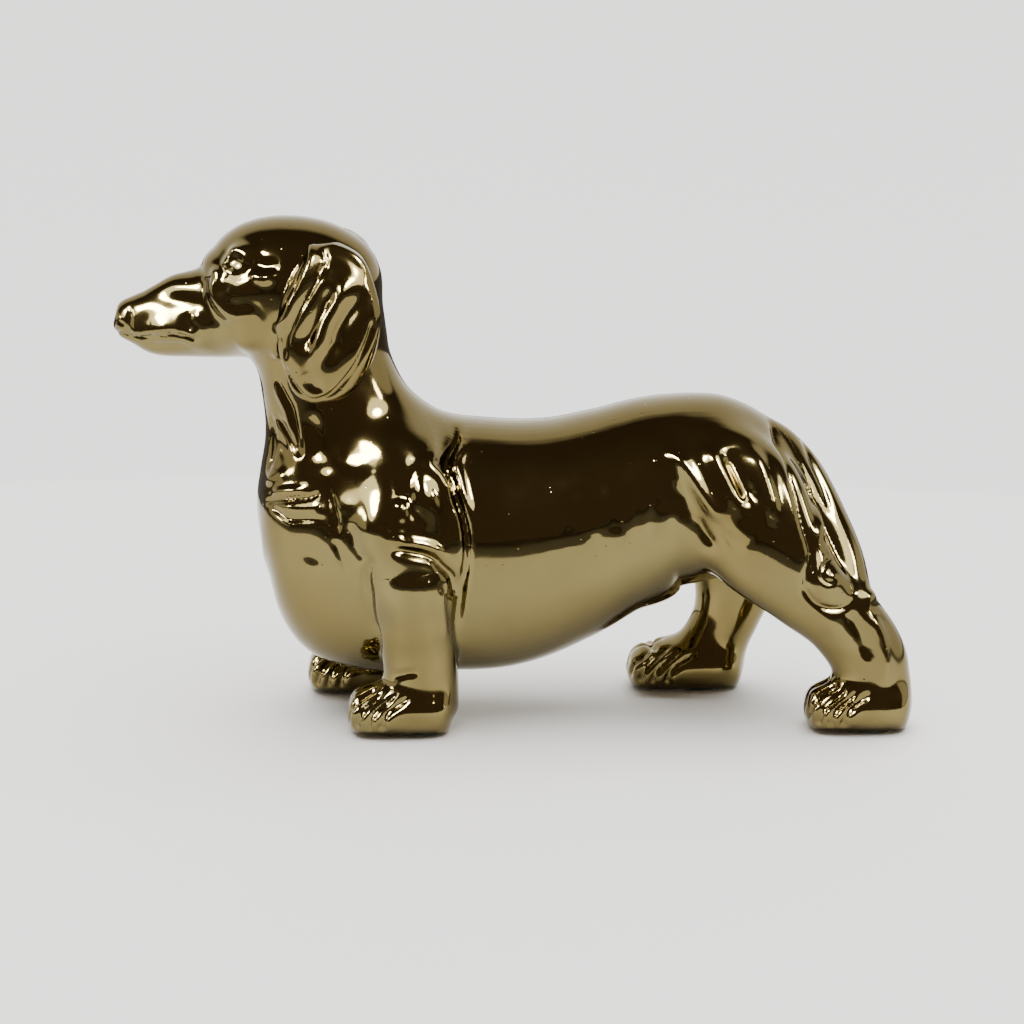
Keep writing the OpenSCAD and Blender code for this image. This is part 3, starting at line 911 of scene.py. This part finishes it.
def noise(tree, scale, detail):
    """A noise texture in the object's own space."""
    made = tree.nodes.new("ShaderNodeTexNoise")
    made.inputs["Scale"].default_value = scale
    made.inputs["Detail"].default_value = detail
    place = tree.nodes.new("ShaderNodeTexCoord")
    tree.links.new(place.outputs["Object"], made.inputs["Vector"])
    return made


def spread(tree, value, low, high, out_low, out_high):
    """A value's range from low to high, stretched to another range."""
    made = tree.nodes.new("ShaderNodeMapRange")
    made.inputs["From Min"].default_value = low
    made.inputs["From Max"].default_value = high
    made.inputs["To Min"].default_value = out_low
    made.inputs["To Max"].default_value = out_high
    tree.links.new(value, made.inputs["Value"])
    return made.outputs["Result"]


def two_tone(tree, gloss, share, first, second):
    """Gives the shader a base colour between two, by a share from 0 to 1."""
    tone = tree.nodes.new("ShaderNodeMix")
    tone.data_type = "RGBA"
    tone.inputs["A"].default_value = (*first, 1)
    tone.inputs["B"].default_value = (*second, 1)
    tree.links.new(share, tone.inputs["Factor"])
    tree.links.new(tone.outputs["Result"], gloss.inputs["Base Color"])


def relief(tree, height, strength, distance, under=None):
    """A bump's normal, on top of another's."""
    made = tree.nodes.new("ShaderNodeBump")
    made.inputs["Strength"].default_value = strength
    made.inputs["Distance"].default_value = distance
    tree.links.new(height, made.inputs["Height"])
    if under is not None:
        tree.links.new(under, made.inputs["Normal"])
    return made.outputs["Normal"]


GOLD_PALE = (0.166, 0.135, 0.052)
GOLD_DEEP = (0.143, 0.108, 0.036)
FELT_DARK = (0.02, 0.035, 0.028)
FELT_PALE = (0.07, 0.10, 0.08)
FLOOR_DARK = (0.9, 0.9, 0.9)
FLOOR_PALE = (0.92, 0.92, 0.92)
# Painted dark reflection: the near-black of a sheet that only the gilding's reflections show
REFLECTION_SHEET_DARK = (0.02, 0.014, 0.01)


def gilding(name, roughness):
    """Bright gold lustre over a glaze: a little uneven in tone, polish and flatness."""
    material, tree, gloss = shader(name, GOLD_PALE, 1.0, roughness)
    patches = noise(tree, scale=28, detail=3)
    share = spread(tree, patches.outputs["Fac"], 0.35, 0.7, 0, 1)
    two_tone(tree, gloss, share, GOLD_PALE, GOLD_DEEP)
    polish = noise(tree, scale=60, detail=4)
    uneven = spread(tree, polish.outputs["Fac"], 0.3, 0.75, roughness * 0.7, roughness * 1.9)
    tree.links.new(uneven, gloss.inputs["Roughness"])
    # The glaze's slight waviness, and its few pinholes
    waves = noise(tree, scale=45, detail=2)
    holes = tree.nodes.new("ShaderNodeTexVoronoi")
    holes.inputs["Scale"].default_value = 230
    place = tree.nodes.new("ShaderNodeTexCoord")
    tree.links.new(place.outputs["Object"], holes.inputs["Vector"])
    pits = spread(tree, holes.outputs["Distance"], 0.03, 0.09, -1.0, 0)
    wavy = relief(tree, waves.outputs["Fac"], strength=0.25, distance=0.0012)
    pitted = relief(tree, pits, strength=0.35, distance=0.0002, under=wavy)
    tree.links.new(pitted, gloss.inputs["Normal"])
    gloss.inputs["Coat Weight"].default_value = 0.12
    gloss.inputs["Coat Roughness"].default_value = 0.03
    return material


def felt():
    material, tree, gloss = shader("felt", FELT_DARK, 0.0, 0.95)
    fuzz = noise(tree, scale=900, detail=6)
    two_tone(tree, gloss, fuzz.outputs["Fac"], FELT_DARK, FELT_PALE)
    return material


def plain_floor():
    material, tree, gloss = shader("studio floor", FLOOR_DARK, 0.0, 0.6)
    grain = noise(tree, scale=3, detail=2)
    two_tone(tree, gloss, grain.outputs["Fac"], FLOOR_DARK, FLOOR_PALE)
    return material


# ---------------------------------------------------------------- studio

# The room's tones, from 0, straight out from the dog's left side, to 1, straight behind it
ROOM_TONES = (
    (0.0, (0.17, 0.12, 0.09, 1)),
    (0.62, (0.11, 0.08, 0.06, 1)),
    (0.70, (1.3, 1.25, 1.15, 1)),
    (1.0, (2.0, 1.95, 1.85, 1)),
)


def studio_walls():
    """Light by direction: a pale wall behind the dog, pale ends, and a dark room before it."""
    world = bpy.data.worlds.new("studio")
    world.use_nodes = True
    tree = world.node_tree
    sky = tree.nodes["Background"]
    place = tree.nodes.new("ShaderNodeTexCoord")
    parts = tree.nodes.new("ShaderNodeSeparateXYZ")
    tree.links.new(place.outputs["Generated"], parts.inputs["Vector"])
    ramp = tree.nodes.new("ShaderNodeValToRGB")
    stops = ramp.color_ramp.elements
    stops[0].position = ROOM_TONES[0][0]
    stops[0].color = ROOM_TONES[0][1]
    stops[1].position = ROOM_TONES[-1][0]
    stops[1].color = ROOM_TONES[-1][1]
    for spot, tone in ROOM_TONES[1:-1]:
        stops.new(spot).color = tone
    ends = tree.nodes.new("ShaderNodeMath")
    ends.operation = "ABSOLUTE"
    tree.links.new(parts.outputs["X"], ends.inputs[0])
    side = spread(tree, ends.outputs[0], 0.72, 0.92, 0, 0.72)
    behind = spread(tree, parts.outputs["Y"], -1, 1, 0, 1)
    paler = tree.nodes.new("ShaderNodeMath")
    paler.operation = "MAXIMUM"
    tree.links.new(side, paler.inputs[0])
    tree.links.new(behind, paler.inputs[1])
    tree.links.new(paler.outputs[0], ramp.inputs["Fac"])
    tree.links.new(ramp.outputs["Color"], sky.inputs["Color"])
    sky.inputs["Strength"].default_value = 1.0
    bpy.context.scene.world = world


FLOOR_HALF = 9.0 / MM        # the floor reaches 9 m each way
FLOOR_CORNERS = np.array([(-1, -1, 0), (1, -1, 0), (1, 1, 0), (-1, 1, 0)]) * FLOOR_HALF
# The painted dark reflection: a ring hidden from the camera, from shadows and from diffuse light
SHEET_SIDES = 64
SHEET_HEIGHT = 1.0
SHEET_CENTRE = (-80, 0)
SHEET_INNER = (560, 310)
SHEET_OUTER = (9000, 9000)


def dark_reflection_sheet():
    """A near-black ring round the set, just over the floor, which shows only in reflections: a
    painted dark reflection in the gilding, where the camera itself sees the pale floor.
    """
    turn = np.linspace(0, 2 * math.pi, SHEET_SIDES, endpoint=False)
    ring = np.stack([np.cos(turn), np.sin(turn)], -1)
    height = np.full(SHEET_SIDES, SHEET_HEIGHT)
    points = np.vstack([np.column_stack([ring * reach + SHEET_CENTRE, height])
                        for reach in (SHEET_INNER, SHEET_OUTER)])
    faces = [(i, (i + 1) % SHEET_SIDES, (i + 1) % SHEET_SIDES + SHEET_SIDES, i + SHEET_SIDES)
             for i in range(SHEET_SIDES)]
    dark_sheet = mesh_object("dark_reflection_sheet", points, faces)
    # Painted dark reflection: its near-black colour darkens what the gilding mirrors
    dark_sheet.data.materials.append(shader("painted dark reflection", REFLECTION_SHEET_DARK, 0.0, 0.9)[0])
    dark_sheet.visible_camera = False
    dark_sheet.visible_shadow = False
    dark_sheet.visible_diffuse = False


def floor():
    made = mesh_object("floor", FLOOR_CORNERS, [(0, 1, 2, 3)])
    made.data.materials.append(plain_floor())


CENTRE = Vector((-0.5, 0, 61.3)) * MM

# Name, azimuth and elevation in degrees, distance, size, and power in watts
SOFTBOXES = (
    ("key", -46, 42, 1200, (400, 280), 40),
    ("fill", 38, 46, 1300, (340, 380), 44),
    ("left window", -52, 38, 1400, (640, 620), 7),
    ("right window", 46, 42, 1400, (1000, 900), 16),
    ("low left", -72, 22, 1300, (160, 200), 6),
    ("low right", 66, 26, 1300, (140, 220), 6),
)


def aimed(name, data, azimuth, elevation, away):
    """A lamp or camera that faces the dog: from its left side at azimuth 0, its rear at 90."""
    a = math.radians(azimuth)
    e = math.radians(elevation)
    out = Vector((math.sin(a) * math.cos(e), -math.cos(a) * math.cos(e), math.sin(e)))
    holder = bpy.data.objects.new(name, data)
    holder.location = CENTRE + out * away * MM
    holder.rotation_euler = (CENTRE - holder.location).to_track_quat("-Z", "Y").to_euler()
    bpy.context.scene.collection.objects.link(holder)
    return holder


def sunlight(strength, angle):
    """Wide, even light from above, which the gilding doesn't mirror."""
    lamp = bpy.data.lights.new("sky panel", "SUN")
    lamp.energy = strength
    lamp.angle = math.radians(angle)
    holder = bpy.data.objects.new("sky panel", lamp)
    holder.visible_glossy = False
    bpy.context.scene.collection.objects.link(holder)


def softbox(name, azimuth, elevation, away, size, power):
    """A lamp for the gilding to mirror. It doesn't light the floor."""
    lamp = bpy.data.lights.new(name, "AREA")
    lamp.shape = "ELLIPSE"
    lamp.size = size[0] * MM
    lamp.size_y = size[1] * MM
    lamp.energy = power
    holder = aimed(name, lamp, azimuth, elevation, away)
    holder.visible_diffuse = False
    holder.visible_camera = False


def camera(azimuth, elevation, away, lens):
    view = bpy.data.cameras.new("view")
    view.lens = lens
    bpy.context.scene.camera = aimed("view", view, azimuth, elevation, away)


# ---------------------------------------------------------------- assembly

def sculpted(rough):
    """The whole dog as one closed skin."""
    skin = Skin(rough)
    model_head(skin)
    model_ears(skin)
    model_chest(skin)
    model_shoulders(skin)
    model_forelegs(skin)
    for at, stretch in ((FORE_PAW_LEFT_AT, 1), (FORE_PAW_RIGHT_AT, 1), (HIND_LEFT_AT, 1),
                        (HIND_RIGHT_AT, HIND_RIGHT_STRETCH)):
        model_paw(skin, at, stretch)
    model_rear(skin)
    points, quads = skin.finished()
    points = ironed(points, quads)
    made = mesh_object("skin", points, outward(points, quads).tolist())
    made.data.shade_smooth()
    return made


def kind_of(name):
    if name.startswith("slip"):
        return "gilded_slip"
    if name.startswith(("ear", "tail")):
        return "gilded_pressed_clay"
    return "gilded_ceramic"


rough = Rough()
skin_object = sculpted(rough)
uncut = Uncut(skin_object.data)
under_paws = box((-FAR, -FAR, -FAR), (FAR, FAR, PAD_TOP))
pieces = cut_apart(joined(skin_object, under_paws, "DIFFERENCE"), rough)

gold = {slot: gilding(slot, roughness) for slot, roughness in
        (("gilded_ceramic", 0.07), ("gilded_pressed_clay", 0.08), ("gilded_slip", 0.07))}
for name, piece in pieces.items():
    slot = kind_of(name)
    piece.name = name + "_gilded"
    piece.data.name = name + "_gilded"
    seam_normals(piece, uncut)
    piece.data.materials.clear()
    piece.data.materials.append(gold[slot])
    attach(piece, "root")
    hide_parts(name)

# Remove the cutters and the meshes made on the way
kept = set(pieces.values())
for made in list(bpy.context.scene.collection.objects):
    if made.type == "MESH" and made not in kept and "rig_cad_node" not in made:
        bpy.data.objects.remove(made)

felt_material = felt()
for name, node in frame["nodes"].items():
    node.data.materials.clear()
    node.data.materials.append(felt_material if name.startswith("pad") else gold["gilded_ceramic"])

floor()
studio_walls()
# A painted dark reflection: a sheet that darkens the gilding's mirrored floor but never shows
# itself
dark_reflection_sheet()
sunlight(strength=5.7, angle=70)
for lamp in SOFTBOXES:
    softbox(*lamp)
camera(azimuth=-2, elevation=14, away=900, lens=105.47)
